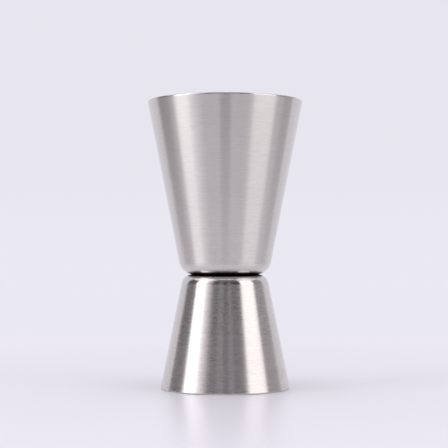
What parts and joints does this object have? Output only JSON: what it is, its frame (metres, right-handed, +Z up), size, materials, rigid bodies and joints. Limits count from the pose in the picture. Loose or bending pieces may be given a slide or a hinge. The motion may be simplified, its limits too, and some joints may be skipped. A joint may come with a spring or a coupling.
{
  "type": "bar jigger",
  "caption": "Hourglass-shaped double-ended bar jigger: a large and a small conical steel measuring cup welded base to base, for measuring spirits.",
  "frame": {"origin": "centre of the small cup's rim, on the plane that the jigger stands on", "axes": "+Z up along the common axis of both cups, towards the large cup; +Y towards the first of the hidden welds; +X to the right seen from -Y"},
  "size_m": [0.0466, 0.0466, 0.0865],
  "materials": {
    "satin_steel": "satin, brushed round the axis",
    "polished_steel": "fine satin, nearly polished, brushed round the axis",
    "weld_steel": "fused weld metal, hidden between the floors"
  },
  "bodies": {
    "root": {"large_cup": "satin_steel", "small_cup": "polished_steel", "weld_nugget_1": "weld_steel", "weld_nugget_2": "weld_steel", "weld_nugget_3": "weld_steel"}
  },
  "joints": []
}
